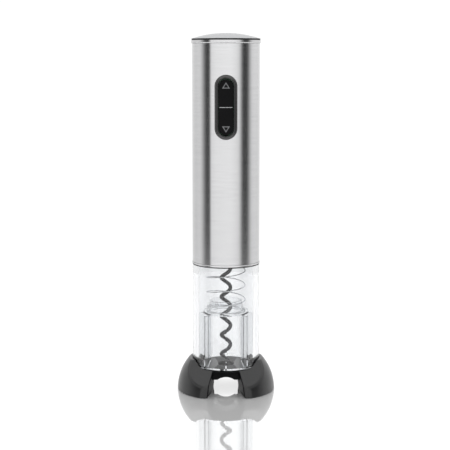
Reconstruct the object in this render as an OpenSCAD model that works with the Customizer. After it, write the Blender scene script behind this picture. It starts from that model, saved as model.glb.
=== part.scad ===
// Battery wine opener standing in its foil cutter.
// The handle is a brushed steel sleeve over two plastic shells that hold the cells, the motor and a
// two-stage planetary gearbox. Below it a clear sleeve guides the bottle neck round the worm.
// All sizes are in millimetres. Z is up, the buttons face -Y, and the foil cutter stands on z = 0.

/* [Handle] */
// Outside diameter of the steel sleeve
sleeve_d = 50; // [49:1:60]
// Wall of the steel sleeve
sleeve_wall = 0.6; // [0.4:0.1:0.8]
// Wall of the two plastic shells inside the steel
shell_wall = 1.6; // [1.2:0.1:2]
// Free height between the motor and the cells, for the leads
wiring_space = 16.3; // [12:0.1:24]
// Rise of the domed cap above its rim
dome_rise = 4.1; // [2:0.1:7]
// Height of the silver ring under the cap
cap_ring_h = 2.4; // [2:0.2:6]

/* [Clear sleeve] */
// Height of the clear sleeve from its foot to the trim ring
clear_h = 77; // [70:1:95]
// Wall of the clear sleeve
clear_wall = 4.2; // [2.5:0.1:4.6]
// Diameter left free between the guide ribs, for a bottle neck
neck_d = 31.2; // [30:0.2:33]
// Number of guide ribs
rib_count = 8; // [4:2:12]
// Thickness of one guide rib
rib_t = 1; // [0.8:0.1:1.6]
// Height of the guide ribs
rib_h = 39.1; // [30:0.5:45]

/* [Worm and cork guide] */
// Outside diameter of the worm
worm_d = 9.6; // [8:0.2:11]
// Wire diameter of the worm
worm_wire = 2.8; // [2.2:0.1:3.2]
// Rise of the worm in one turn
worm_pitch = 14.6; // [11:0.2:17]
// Height of the worm's point above the clear sleeve's foot
worm_tip_h = 0.7; // [0.5:0.1:8]
// How far the cork guide's flange rests on the guide ribs
guide_seat = 1.7; // [1.2:0.1:2]
// Height of the cork guide
guide_h = 9.4; // [7:0.2:13]
// How far the guide spring stands inside the rim of that flange
spring_inset = 2.55; // [1.8:0.05:3.2]
// Wire diameter of the guide spring
spring_wire = 0.7; // [0.5:0.1:1]
// Rise of the guide spring in one turn
spring_pitch = 11; // [7:0.5:14]

/* [Buttons] */
// Width of the oval button frame
bezel_w = 16.1; // [14:0.1:18]
// Height of the oval button frame
bezel_h = 46.2; // [40:0.2:54]
// Width of the buttons
button_w = 10.8; // [9:0.1:12]
// Height of the two buttons together
button_h = 39.4; // [34:0.2:46]
// Gap between the two buttons
button_gap = 0.6; // [0.4:0.1:1]
// How far a button travels
button_travel = 0.6; // [0.3:0.1:0.8]
// Distance from the top of the steel down to the middle of the buttons
button_drop = 45.5; // [40:0.5:60]

/* [Drive] */
// Length of the motor can
motor_l = 30.8; // [26:0.2:38]
// Diameter of the motor can
motor_d = 24.4; // [20:0.2:27]
// Radius of the motor shaft
motor_shaft_r = 1; // [0.8:0.1:1.2]
// Gear module of both planetary stages
gear_module = 0.8; // [0.78:0.01:0.82]
// Height of the gear teeth in each stage
gear_h = 7.2; // [6:0.2:10]
// Radius of the output shaft
output_r = 5; // [4:0.5:6]

/* [Cells] */
// Length of one cell with its nub
cell_l = 50.5; // [44:0.5:61]
// Diameter of one cell
cell_d = 14.2; // [13:0.1:14.4]

/* [Foil cutter] */
// How far the cutter's dome reaches out past the steel sleeve's radius
cutter_reach = 11.5; // [10:0.5:16]
// Height of the floor that the clear sleeve stands on
seat_z = 18.9; // [17.5:0.1:21]
// Radius of the pocket that goes over a bottle's mouth
pocket_r = 15; // [14.4:0.1:16]
// Height of that pocket
pocket_h = 11; // [9:0.5:12]
// Depth of the four flat facets below the dome
facet_depth = 5.4; // [4:0.2:6.5]
// How far the two toes are cut back from the dome
toe_cut = 5; // [3:0.5:7]
// Radius of a cutting wheel
wheel_r = 5.5; // [5:0.1:6]

/* [Fits] */
// Gap between pieces of different bodies
gap = 0.3; // [0.2:0.05:0.4]
// Running clearance on the radius of a pin or a shaft
run = 0.05; // [0.02:0.01:0.08]

/* [Hidden] */
$fn = 96;
sleeve_r = sleeve_d / 2;
shell_r = sleeve_r - sleeve_wall - 0.2;
shell_in = shell_r - shell_wall;

// Foil cutter
cup_r = sleeve_r + gap;
rim_wall = 2.2;
cutter_r = sleeve_r + cutter_reach;
rim_z = sqrt(pow(cutter_r, 2) - pow(cup_r + rim_wall, 2));
ledge_t = 1.5;
bridge_y = pocket_r + 5;
arch_rise = 2;
arch_half = 6.3;
floor_hole_r = 6;
notch_w = 9.5;
notch_flare = 11.6;
notch_draft = 7.5;
facet_turn = 64.4;
facet_tilt = 45.4;
wheel_bite = 0.8;
wheel_angle = 27;
wheel_place = pocket_r - wheel_bite + wheel_r;
wheel_z = 3.9;
pin_r = 1;
cover_z = 0.5;
cover_t = 2;
cover_in = pocket_r + 0.9;
cover_out = cutter_r - 6.3;
cover_half = 48;
cover_screw_x = pocket_r + 10;

// Clear sleeve, trim ring and steel, from the seat upward
clear_z = seat_z + gap;
clear_top = clear_z + clear_h;
clear_r = sleeve_r - 0.1;
clear_in = clear_r - clear_wall;
neck_h = 8;
neck_out = sleeve_r - sleeve_wall - 0.3;
ring_gap = 0.25;
ring_h = 1.1;
ring_proud = 0.35;
steel_z = clear_top + ring_h + 2 * ring_gap;
rib_top = clear_z + rib_h;

// Cork guide and its spring
guide_z = rib_top + gap;
guide_r = neck_d / 2 + guide_seat;
guide_flange = 1.6;
guide_wall = 1.2;
guide_top_r = guide_r - 5.3;
spring_r = guide_r - spring_inset - spring_wire / 2;
end_cup_z = steel_z + 0.5;
spring_low = guide_z + guide_flange + spring_wire / 2;
spring_high = end_cup_z - spring_wire / 2;
spring_start = 183;

// End cup and gearbox
end_cup_floor = 3;
end_cup_h = 19.8;
end_cup_r = clear_in - gap;
gearbox_z = end_cup_z + end_cup_h;
gearbox_base_t = 4.5;
case_r = shell_in - gap;
case_screw_r = 1;
case_screw_place = case_r - 1.7;
plate_t = 3;
stage_gap = 0.4;
ring_z = gearbox_z + gearbox_base_t;
output_plate_z = ring_z + stage_gap;
second_z = output_plate_z + plate_t + stage_gap;
first_plate_z = second_z + gear_h + 2 * stage_gap;
first_z = first_plate_z + plate_t + stage_gap;
motor_plate_z = first_z + gear_h + 2 * stage_gap;
motor_plate_t = 2.5;

// Gear teeth: sun, planet and ring
sun_n = 9;
planet_n = 18;
ring_n = sun_n + 2 * planet_n;
pressure = 25;
addendum = 0.8;
dedendum = 1.05;
thinning = 0.07;
planet_count = 3;
first_planet = 90;
planet_place = gear_module * (sun_n + planet_n) / 2;
planet_pin_r = 1.5;
carrier_r = gear_module * (ring_n / 2 - addendum) - 0.6;
sun_phase = 0;
ring_phase = ((ring_n + sun_n) * first_planet + 180 * planet_n - 180) / ring_n;

// Worm and hub
hub_r = 7.9;
hub_z = end_cup_z + 0.6;
hub_top = hub_z + 13;
output_low = hub_z + 9;
worm_path_r = (worm_d - worm_wire) / 2;
worm_tip_z = clear_z + worm_tip_h;
worm_top_z = hub_z - 0.2;
worm_tip_angle = 20;

// Motor
motor_z = motor_plate_z + motor_plate_t;
motor_top = motor_z + motor_l;
can_wall = 0.8;
armature_r = motor_d / 2 - can_wall - 3.2;
motor_screw_x = 8;
motor_screw_r = 1.2;
terminal_h = 4.2;
terminal_x = 7;

// Cells
holder_z = motor_top + terminal_h + wiring_space;
holder_floor = 3;
contact_h = 1.6;
cell_z = holder_z + holder_floor + contact_h;
cell_top = cell_z + cell_l;
cell_nub = 1.3;
cell_place = cell_d / 2 + 0.4;
cell_bore_r = cell_d / 2 + 0.15;
holder_r = cell_place * sqrt(2) + cell_bore_r + 0.75;
holder_y = shell_in - holder_r - 1;
contact_wire = 0.5;

// Top of the handle
steel_top = cell_top + 3.6;
steel_h = steel_top - steel_z;
cap_ring_top = steel_top + cap_ring_h;
cap_ring_r = sleeve_r + 0.7;
gasket_t = 1.2;
cap_z = cap_ring_top + gasket_t;
cap_r = sleeve_r + 0.3;
dome_r = (pow(cap_r, 2) + pow(dome_rise, 2)) / (2 * dome_rise);
cap_wall = 2;
skirt_r = shell_in - 0.2;
skirt_wall = 1.8;
skirt_z = cell_top + 0.6;
link_h = 1.9;

// Buttons
button_z = steel_top - button_drop;
bezel_front = sleeve_r + 0.5;
bezel_back = sleeve_r - 1.8;
button_front = sleeve_r + 1;
button_clear = 0.25;
button_lip = 0.9;
lip_t = 0.8;
lip_front = bezel_back - 0.2;
post_r = 2;
post_end = lip_front - lip_t - 0.8;
plunger_r = 1.5;
plunger_l = 0.8;
switch_front = post_end - plunger_l - 0.05;
switch_t = 3;
switch_w = 6;
board_t = 1.6;
board_front = switch_t - switch_front;
board_back = board_front + board_t;
board_w = 14;
board_h = 46;
arrow_w = 5.7;
arrow_h = 4.4;
arrow_depth = 0.25;
arrow_line = 0.8;
arrow_place = 15.3;
switch_place = button_h / 4;

// Leads and housing screws
lead_r = 0.7;
boss_r = 3;
boss_x = shell_in - 6.2;
boss_z = holder_z - wiring_space / 2;
boss_screw_r = 1.1;

// ---------- shared shapes ----------

// A tube between two heights
module tube(outer, inner, z0, z1) {
    translate([0, 0, z0]) difference() {
        cylinder(r = outer, h = z1 - z0);
        translate([0, 0, -1]) cylinder(r = inner, h = z1 - z0 + 2);
    }
}

// A disc between two heights
module disc(r, z0, z1) {
    translate([0, 0, z0]) cylinder(r = r, h = z1 - z0);
}

// An upright oval of width w and height h, pushed along Y from y0 to y1
module oval(w, h, y0, y1) {
    translate([0, y1, button_z]) rotate([90, 0, 0]) linear_extrude(height = y1 - y0) {
        square([w, h - w], center = true);
        for (side = [-1, 1]) translate([0, side * (h - w) / 2]) circle(d = w);
    }
}

// Corner numbers of a tube skin: rings of `sides` points, closed at both ends
function skin_faces(rings, sides) = concat(
    [[for (i = [0:sides - 1]) i]],
    [for (k = [0:rings - 2]) for (i = [0:sides - 1])
        [k * sides + i, (k + 1) * sides + i, (k + 1) * sides + (i + 1) % sides]],
    [for (k = [0:rings - 2]) for (i = [0:sides - 1])
        [k * sides + i, (k + 1) * sides + (i + 1) % sides, k * sides + (i + 1) % sides]],
    [[for (i = [sides - 1:-1:0]) (rings - 1) * sides + i]]
);

// A wire wound round Z. Each entry of path is [winding radius, angle, height, wire radius].
module wound_wire(path, sides) {
    last = len(path) - 1;
    function place(k) = [path[k][0] * cos(path[k][1]), path[k][0] * sin(path[k][1]), path[k][2]];
    function unit(v) = v / norm(v);
    points = [for (k = [0:last])
        let (along = unit(place(min(k + 1, last)) - place(max(k - 1, 0))),
             out = [cos(path[k][1]), sin(path[k][1]), 0],
             across = unit(out - (out * along) * along),
             up = cross(along, across))
        for (i = [0:sides - 1]) let (b = i * 360 / sides)
            place(k) + path[k][3] * (cos(b) * across + sin(b) * up)];
    polyhedron(points = points, faces = skin_faces(last + 1, sides), convexity = 10);
}

// A right-handed coil between two heights, whose end turns lie flat for 3/4 of a turn
module coil(r, w, z0, z1, pitch, start, step = 15, sides = 6) {
    flat = 270;
    sweep = 2 * flat + (z1 - z0) / pitch * 360;
    steps = ceil(sweep / step);
    wound_wire([for (k = [0:steps]) let (a = k / steps * sweep)
        [r, start + a, z0 + min(max(a - flat, 0) / 360 * pitch, z1 - z0), w]], sides);
}

// A flat conical spring that narrows as it rises
module cone_spring(r0, r1, w, z0, z1, turns) {
    steps = turns * 12;
    wound_wire([for (k = [0:steps]) let (t = k / steps)
        [r0 + t * (r1 - r0), t * turns * 360, z0 + t * (z1 - z0), w]], 6);
}

// ---------- gear teeth ----------

function involute(a) = tan(a) * 180 / PI - a;

// Half the angle that a tooth fills at radius r, for n teeth, thinned by t at the pitch circle
function tooth_half(n, r, t) =
    let (pitch_r = gear_module * n / 2, base_r = pitch_r * cos(pressure),
         at = acos(min(1, base_r / max(r, base_r))))
    90 / n - t / pitch_r * 90 / PI + involute(pressure) - involute(at);

// Outline of n teeth between two radii, one tooth centred on +X
module teeth(n, root_r, tip_r, t) {
    base_r = gear_module * n / 2 * cos(pressure);
    low = max(root_r, base_r);
    radii = concat(root_r < base_r ? [root_r] : [], [low, (low + tip_r) / 2, tip_r]);
    count = len(radii);
    polygon([for (k = [0:n - 1]) for (i = [0:2 * count - 1])
        let (j = i < count ? i : 2 * count - 1 - i, side = i < count ? -1 : 1, r = radii[j],
             a = k * 360 / n + side * tooth_half(n, r, t))
        [r * cos(a), r * sin(a)]]);
}

// An external gear with a bore
module gear(n, h, bore_r) {
    pitch_r = gear_module * n / 2;
    linear_extrude(height = h) difference() {
        teeth(n, pitch_r - dedendum * gear_module, pitch_r + addendum * gear_module, thinning);
        circle(r = bore_r);
    }
}

// Turn of a planet at angle a round the sun that puts its teeth in mesh
function planet_phase(a) = a + 180 - (180 - sun_n * (a - sun_phase)) / planet_n;

// ---------- foil cutter ----------

// The four facets: a slanted plane near each corner, the same four times by symmetry
module facet_cut() {
    for (mx = [0, 1], my = [0, 1]) mirror([mx, 0, 0]) mirror([0, my, 0])
        rotate([0, 0, -90 - (90 - facet_turn)])
            rotate([0, facet_tilt, 0])
                translate([-cutter_r, -cutter_r, cutter_r - facet_depth])
                    cube([2 * cutter_r, 2 * cutter_r, cutter_r]);
}

// The tapered way under the bridge, wider at the bottom and towards the front
module notch_side() {
    rotate([0, 0, -notch_flare]) rotate([0, notch_draft, 0])
        translate([0, -3 * cutter_r, -cutter_r])
            cube([3 * cutter_r, 6 * cutter_r, 3 * cutter_r]);
}

module notch_half() {
    intersection() {
        translate([-notch_w, -pocket_r * 0.7, 0]) notch_side();
        mirror([1, 0, 0]) translate([-notch_w, -pocket_r * 0.7, 0]) notch_side();
        union() {
            translate([-cutter_r, -2 * cutter_r, -1]) cube([2 * cutter_r, 2 * cutter_r, pocket_h + 1]);
            translate([-cutter_r, -2 * cutter_r, -1])
                cube([2 * cutter_r, 2 * cutter_r - bridge_y, seat_z - ledge_t + 1]);
            difference() {
                translate([-cutter_r, -2 * cutter_r, -1]) cube([2 * cutter_r, 2 * cutter_r - bridge_y, rim_z + 2]);
                disc(cup_r, 0, seat_z);
            }
        }
    }
}

// The low arch along the underside of the bridge
module arch_cut() {
    arch_r = (pow(arch_half, 2) + pow(arch_rise, 2)) / (2 * arch_rise);
    intersection() {
        translate([0, cutter_r, pocket_h + arch_rise - arch_r]) rotate([90, 0, 0])
            cylinder(r = arch_r, h = 2 * cutter_r);
        translate([-cutter_r, -cutter_r, pocket_h - 0.1]) cube([2 * cutter_r, 2 * cutter_r, 2 * arch_rise]);
    }
}

module each_wheel() {
    for (side = [0, 180], a = [-wheel_angle, wheel_angle])
        rotate([0, 0, side + a]) translate([wheel_place, 0, 0]) children();
}

// Footprint of one wheel cover, grown by g, on the +X side
module cover_shape(g) {
    intersection() {
        difference() {
            circle(r = cover_out + g);
            circle(r = cover_in - g);
        }
        polygon([
            [-g / sin(cover_half), 0],
            [2 * cutter_r * cos(cover_half), -2 * cutter_r * sin(cover_half)],
            [3 * cutter_r, 0],
            [2 * cutter_r * cos(cover_half), 2 * cutter_r * sin(cover_half)]
        ]);
    }
}

module cutter_body() {
    color("#2b2b2c") difference() {
        intersection() {
            sphere(r = cutter_r);
            translate([-cutter_r, toe_cut - cutter_r, 0])
                cube([2 * cutter_r, 2 * (cutter_r - toe_cut), rim_z]);
        }
        difference() {
            facet_cut();
            disc(cup_r, 0, seat_z);
        }
        disc(cup_r, seat_z, rim_z + 1);
        disc(floor_hole_r, 0, seat_z + 1);
        disc(pocket_r, -1, pocket_h);
        notch_half();
        mirror([0, 1, 0]) notch_half();
        arch_cut();
        for (side = [0, 180]) rotate([0, 0, side]) {
            translate([0, 0, -1]) linear_extrude(height = cover_z + cover_t + 1) cover_shape(0.2);
            translate([cover_screw_x, 0, 0]) cylinder(r = 1, h = 9);
        }
        each_wheel() {
            disc(wheel_r + 0.5, 0, wheel_z + 1.3);
            disc(pin_r + 0.02, 0, wheel_z + 4);
        }
    }
}

module wheel_cover(side) {
    color("#232324") rotate([0, 0, side]) difference() {
        translate([0, 0, cover_z]) linear_extrude(height = cover_t) cover_shape(0);
        for (a = [-wheel_angle, wheel_angle]) rotate([0, 0, a]) translate([wheel_place, 0, cover_z + 0.6])
            cylinder(r = pin_r + 0.02, h = cover_t);
        translate([cover_screw_x, 0, 0]) {
            cylinder(r = 1.35, h = 5);
            cylinder(r = 2.4, h = cover_z + 1.1);
        }
    }
}

module left_wheel_cover() wheel_cover(180);

module right_wheel_cover() wheel_cover(0);

module wheel_pins() {
    color("silver") each_wheel() disc(pin_r, cover_z + 0.7, wheel_z + 3.8);
}

module cover_screws() {
    color("silver") for (side = [0, 180]) rotate([0, 0, side]) translate([cover_screw_x, 0, 0]) difference() {
        union() {
            disc(0.95, cover_z + 0.2, 8);
            disc(2.2, cover_z + 0.2, cover_z + 1.05);
        }
        translate([0, 0, cover_z]) cylinder(r = 0.8, h = 0.7, $fn = 6);
    }
}

// One cutting wheel: a thin disc with a sharp edge and a thicker hub
module cutting_wheel(side, a) {
    color("silver") rotate([0, 0, side + a]) translate([wheel_place, 0, wheel_z]) rotate_extrude() polygon([
        [pin_r + run, -1], [2.2, -1], [2.2, -0.45], [wheel_r - 1.4, -0.45],
        [wheel_r, 0], [wheel_r - 1.4, 0.45], [2.2, 0.45], [2.2, 1], [pin_r + run, 1]
    ]);
}

module cutting_wheel_1() cutting_wheel(0, wheel_angle);

module cutting_wheel_2() cutting_wheel(180, -wheel_angle);

module cutting_wheel_3() cutting_wheel(180, wheel_angle);

module cutting_wheel_4() cutting_wheel(0, -wheel_angle);

// ---------- clear sleeve and steel ----------

// One guide rib in its own plane, with a lead-in at its foot
module guide_rib() {
    tip = neck_d / 2;
    rotate([90, 0, 0]) translate([0, 0, -rib_t / 2]) linear_extrude(height = rib_t) polygon([
        [clear_in + 0.5, clear_z + 0.5], [tip + 2.4, clear_z + 0.5], [tip, clear_z + 5],
        [tip, rib_top - 1], [tip + 1, rib_top], [clear_in + 0.5, rib_top]
    ]);
}

module clear_sleeve() {
    color("#e8ecef", 0.35) union() {
        rotate_extrude() polygon([
            [clear_in, clear_z + 0.6], [clear_in + 0.6, clear_z], [clear_r - 0.6, clear_z],
            [clear_r, clear_z + 0.6], [clear_r, clear_top], [neck_out, clear_top],
            [neck_out, clear_top + neck_h], [clear_in, clear_top + neck_h]
        ]);
        for (k = [0:rib_count - 1]) rotate([0, 0, k * 360 / rib_count - 90]) guide_rib();
    }
}

module trim_ring() {
    low = clear_top + ring_gap;
    color("gainsboro") rotate_extrude() polygon([
        [neck_out + 0.1, low], [sleeve_r + ring_proud - 0.25, low], [sleeve_r + ring_proud, low + 0.25],
        [sleeve_r + ring_proud, low + ring_h - 0.25], [sleeve_r + ring_proud - 0.25, low + ring_h],
        [neck_out + 0.1, low + ring_h]
    ]);
}

module steel_sleeve() {
    color("silver") difference() {
        tube(sleeve_r, sleeve_r - sleeve_wall, steel_z, steel_top);
        oval(bezel_w + 0.3, bezel_h + 0.3, -2 * sleeve_r, -sleeve_r / 2);
    }
}

// Silver ring under the cap, its lower outer edge rolled in
module cap_ring() {
    roll = cap_ring_r - sleeve_r + 0.4;
    color("gainsboro") rotate_extrude() difference() {
        polygon([
            [skirt_r + 0.3, steel_top], [cap_ring_r, steel_top], [cap_ring_r, cap_ring_top],
            [skirt_r + 0.3, cap_ring_top]
        ]);
        difference() {
            translate([cap_ring_r - roll, steel_top - 1]) square([roll + 1, roll + 1]);
            translate([cap_ring_r - roll, steel_top + roll]) circle(r = roll);
        }
    }
}

// Domed cap with a skirt that reaches down inside the ring
module top_cap() {
    color("silver") union() {
        difference() {
            intersection() {
                translate([0, 0, cap_z + dome_rise - dome_r]) sphere(r = dome_r);
                disc(cap_r, cap_z, cap_z + 2 * dome_rise);
            }
            intersection() {
                translate([0, 0, cap_z + dome_rise - dome_r]) sphere(r = dome_r - cap_wall);
                disc(skirt_r - skirt_wall, cap_z - 1, cap_z + 2 * dome_rise);
            }
        }
        tube(skirt_r, skirt_r - skirt_wall, skirt_z, cap_z);
        disc(skirt_r - 0.5, cell_top + link_h + 0.5, cell_top + link_h + 2.1);
    }
}

module cap_gasket() {
    color("#1c1c1d") tube(cap_r - 0.15, skirt_r + 0.1, cap_ring_top + 0.05, cap_z);
}

// Two links under the cap that join the upper ends of the cells, each with a bump and a spring
module cap_contacts() {
    color("khaki") {
        for (side = [-1, 1]) translate([-cell_place - 4, holder_y + side * cell_place - 3, cell_top + link_h])
            cube([2 * cell_place + 8, 6, 0.5]);
        cell_places([45, 225]) disc(2, cell_top + 0.05, cell_top + link_h);
        cell_places([135, 315])
            cone_spring(4.4, 2.2, contact_wire / 2, cell_top + link_h - 0.1, cell_top + 0.3, 2);
    }
}

// ---------- shells and lower chassis ----------

module half(front) {
    translate([-2 * sleeve_r, front ? -4 * sleeve_r - 0.1 : 0.1, 0])
        cube([4 * sleeve_r, 4 * sleeve_r, 2 * steel_top]);
}

module shell(front) {
    difference() {
        union() {
            intersection() {
                tube(shell_r, shell_in, clear_top + neck_h + 0.3, steel_top);
                half(front);
            }
            intersection() {
                for (side = [-1, 1]) translate([side * boss_x, front ? -0.2 : shell_in, boss_z])
                    rotate([90, 0, 0]) cylinder(r = boss_r, h = shell_in - 0.2);
                disc(shell_r, 0, steel_top);
            }
        }
        for (side = [-1, 1]) translate([side * boss_x, front ? 1 : 9, boss_z]) rotate([90, 0, 0]) {
            cylinder(r = boss_screw_r, h = 10);
            if (!front) translate([0, 0, -20]) cylinder(r = 2.2, h = 22);
        }
        oval(bezel_w + 0.8, bezel_h + 0.8, -2 * sleeve_r, -sleeve_r / 2);
    }
}

module front_shell() {
    color("#3a3b3d") shell(true);
}

module rear_shell() {
    color("#3a3b3d") shell(false);
}

module shell_screws() {
    color("silver") for (side = [-1, 1]) translate([side * boss_x, 0, boss_z]) rotate([90, 0, 0]) {
        translate([0, 0, -7.5]) cylinder(r = boss_screw_r - 0.1, h = 15.5);
        translate([0, 0, -8.4]) cylinder(r = 2, h = 1.4);
    }
}

// Cup between the clear sleeve and the gearbox; the guide spring bears on its floor
module end_cup() {
    color("#2a2b2d") difference() {
        union() {
            disc(end_cup_r, end_cup_z, gearbox_z);
            disc(case_r, clear_top + neck_h + 0.5, gearbox_z);
        }
        disc(end_cup_r - 2.4, end_cup_z + end_cup_floor, gearbox_z + 1);
        disc(hub_r + 0.4, end_cup_z - 1, gearbox_z);
    }
}

// ---------- gearbox ----------

module case_screw_places() {
    for (k = [0:2]) rotate([0, 0, 30 + 120 * k]) translate([case_screw_place, 0, 0]) children();
}

module gearbox_base() {
    color("#55585c") difference() {
        disc(case_r, gearbox_z, ring_z);
        disc(output_r + 3, gearbox_z - 1, ring_z + 1);
        case_screw_places() disc(case_screw_r, gearbox_z - 1, ring_z + 1);
    }
}

module output_bush() {
    color("peru") tube(output_r + 2.98, output_r + run, gearbox_z, ring_z);
}

module ring_gear() {
    pitch_r = gear_module * ring_n / 2;
    color("ivory") translate([0, 0, ring_z]) difference() {
        linear_extrude(height = motor_plate_z - ring_z) difference() {
            circle(r = case_r);
            rotate([0, 0, ring_phase]) teeth(ring_n, pitch_r - addendum * gear_module,
                pitch_r + dedendum * gear_module, -thinning);
        }
        case_screw_places() disc(case_screw_r + 0.1, -1, motor_plate_z);
    }
}

module gearbox_screws() {
    color("silver") case_screw_places() {
        disc(case_screw_r - 0.05, gearbox_z + 0.5, motor_plate_z + motor_plate_t);
        disc(1.65, motor_plate_z + motor_plate_t, motor_plate_z + motor_plate_t + 1.2);
    }
}

module planet_places() {
    for (k = [0:planet_count - 1]) rotate([0, 0, first_planet + 360 / planet_count * k])
        translate([planet_place, 0, 0]) children();
}

// Carrier plate with the three pins that its planets turn on
module carrier_plate(z) {
    disc(carrier_r, z, z + plate_t);
    planet_places() disc(planet_pin_r, z + plate_t / 2, z + plate_t + gear_h + 2 * stage_gap);
}

module output_carrier() {
    color("slategray") {
        carrier_plate(output_plate_z);
        disc(output_r, output_low, output_plate_z);
    }
}

module first_carrier() {
    color("slategray") {
        carrier_plate(first_plate_z);
        translate([0, 0, second_z]) rotate([0, 0, sun_phase]) gear(sun_n, first_plate_z - second_z, 0.5);
    }
}

// Planet number k of the stage whose teeth start at height z
module planet(k, z) {
    a = first_planet + 360 / planet_count * k;
    color("ivory") rotate([0, 0, a]) translate([planet_place, 0, z]) rotate([0, 0, planet_phase(a) - a])
        gear(planet_n, gear_h, planet_pin_r + run);
}

module planet_gear_1() planet(0, first_z);

module planet_gear_2() planet(1, first_z);

module planet_gear_3() planet(2, first_z);

module planet_gear_4() planet(0, second_z);

module planet_gear_5() planet(1, second_z);

module planet_gear_6() planet(2, second_z);

module drive_pinion() {
    color("goldenrod") translate([0, 0, first_z]) rotate([0, 0, sun_phase])
        gear(sun_n, gear_h, motor_shaft_r + 0.01);
}

// ---------- motor ----------

module motor_plate() {
    color("#55585c") difference() {
        disc(case_r, motor_plate_z, motor_z);
        disc(3.3, motor_plate_z - 1, motor_z + 1);
        case_screw_places() disc(case_screw_r + 0.1, motor_plate_z - 1, motor_z + 1);
        for (side = [-1, 1]) translate([side * motor_screw_x, 0, 0]) {
            disc(motor_screw_r + 0.1, motor_plate_z - 1, motor_z + 1);
            disc(2.3, motor_plate_z - 1, motor_plate_z + 1.2);
        }
    }
}

module motor_screws() {
    color("silver") for (side = [-1, 1]) translate([side * motor_screw_x, 0, 0]) {
        disc(motor_screw_r, motor_plate_z + 0.1, motor_z + can_wall + 1);
        disc(2.1, motor_plate_z + 0.1, motor_plate_z + 1.1);
    }
}

module motor_can() {
    color("silver") difference() {
        union() {
            disc(motor_d / 2, motor_z, motor_top);
            disc(3.1, motor_plate_z + 0.4, motor_z);
        }
        disc(motor_d / 2 - can_wall, motor_z + can_wall, motor_top + 1);
        disc(motor_shaft_r + run, motor_plate_z - 1, motor_z + 2);
        for (side = [-1, 1]) translate([side * motor_screw_x, 0, 0])
            disc(motor_screw_r + 0.02, motor_z - 1, motor_z + can_wall + 1);
    }
}

module motor_magnets() {
    color("#4a4a4e") intersection() {
        tube(motor_d / 2 - can_wall - 0.05, armature_r + 0.4, motor_z + 5, motor_top - 5);
        for (side = [-1, 1]) translate([side * motor_d / 2, 0, motor_z])
            cube([motor_d * 0.8, motor_d * 0.8, 3 * motor_l], center = true);
    }
}

module motor_end_bell() {
    color("white") {
        difference() {
            disc(motor_d / 2 - can_wall - 0.05, motor_top - 2.6, motor_top);
            disc(motor_shaft_r + run, motor_top - 4, motor_top + 1);
        }
        for (side = [-1, 1]) translate([side * terminal_x - 1, -0.3, motor_top - 1])
            cube([2, 0.6, terminal_h]);
    }
}

module motor_shaft() {
    color("silver") disc(motor_shaft_r, first_z + 0.3, motor_top + 0.6);
}

module armature() {
    color("#6a6c70") difference() {
        disc(armature_r, motor_z + 6, motor_top - 6.5);
        disc(motor_shaft_r + 0.01, motor_z, motor_top);
        for (k = [0:2]) rotate([0, 0, 60 + 120 * k]) translate([armature_r * 0.62, 0, 0]) {
            disc(2.4, motor_z, motor_top);
            translate([0, -0.5, motor_z]) cube([armature_r, 1, motor_l]);
        }
    }
}

module windings() {
    color("chocolate") for (k = [0:2]) rotate([0, 0, 60 + 120 * k]) translate([armature_r * 0.62, 0, 0])
        disc(2.3, motor_z + 4.5, motor_top - 5);
}

// The leads from the motor's two terminals up to the back of the board
module motor_leads() {
    turn_z = button_z - board_h / 2 + 2;
    for (side = [-1, 1]) color(side < 0 ? "firebrick" : "#202020") translate([side * (terminal_x - 1.5), 0, 0]) {
        translate([0, 1.1, 0]) disc(lead_r, motor_top + 0.5, turn_z + lead_r);
        translate([0, 1.1, turn_z]) rotate([90, 0, 0]) cylinder(r = lead_r - 0.05, h = 1.1 - board_back);
    }
}

// ---------- cells ----------

module cell_places(angles = [45, 135, 225, 315]) {
    for (a = angles) translate([cell_place * sqrt(2) * cos(a), holder_y + cell_place * sqrt(2) * sin(a), 0])
        children();
}

module battery_holder() {
    color("#26272a") difference() {
        translate([0, holder_y, 0]) disc(holder_r, holder_z, cell_top - 3);
        cell_places() disc(cell_bore_r, holder_z + holder_floor, cell_top);
    }
}

module holder_contacts() {
    color("khaki") {
        cell_places() disc(5, holder_z + holder_floor, holder_z + holder_floor + 0.4);
        cell_places([135, 315]) disc(2, holder_z + holder_floor, cell_z - 0.05);
        cell_places([45, 225]) cone_spring(4.4, 2.2, contact_wire / 2, holder_z + holder_floor + 0.5, cell_z - 0.3, 2);
    }
}

// Cell number k; cells 1 and 3 have their nub up, cells 2 and 4 have it down
module cell(k) {
    a = 45 + 90 * (k - 1);
    flip = k % 2 == 0;
    color("goldenrod") cell_places([a]) {
        disc(cell_d / 2, flip ? cell_z + cell_nub : cell_z, flip ? cell_top : cell_top - cell_nub);
        disc(2.7, cell_z + (flip ? 0 : 1), cell_top - (flip ? 1 : 0));
    }
}

module cell_1() cell(1);

module cell_2() cell(2);

module cell_3() cell(3);

module cell_4() cell(4);

// ---------- buttons and board ----------

module button_bezel() {
    color("#161617") difference() {
        intersection() {
            oval(bezel_w, bezel_h, -2 * sleeve_r, -bezel_back);
            disc(bezel_front, 0, steel_top);
        }
        oval(button_w + 2 * button_clear, button_h + 2 * button_clear, -2 * sleeve_r, -sleeve_r / 2);
    }
}

// Outline arrow cut into a button, pointing up or down
module arrow_cut(up) {
    tip = up ? 1 : -1;
    translate([0, -button_front + 1.2, button_z + tip * arrow_place]) rotate([90, 0, 0])
        linear_extrude(height = 4) difference() {
            polygon([[-arrow_w / 2, -tip * arrow_h / 2], [arrow_w / 2, -tip * arrow_h / 2], [0, tip * arrow_h / 2]]);
            polygon([
                [-arrow_w / 2 + 1.9 * arrow_line, tip * (arrow_line - arrow_h / 2)],
                [arrow_w / 2 - 1.9 * arrow_line, tip * (arrow_line - arrow_h / 2)],
                [0, tip * (arrow_h / 2 - 1.7 * arrow_line)]
            ]);
        }
}

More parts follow.
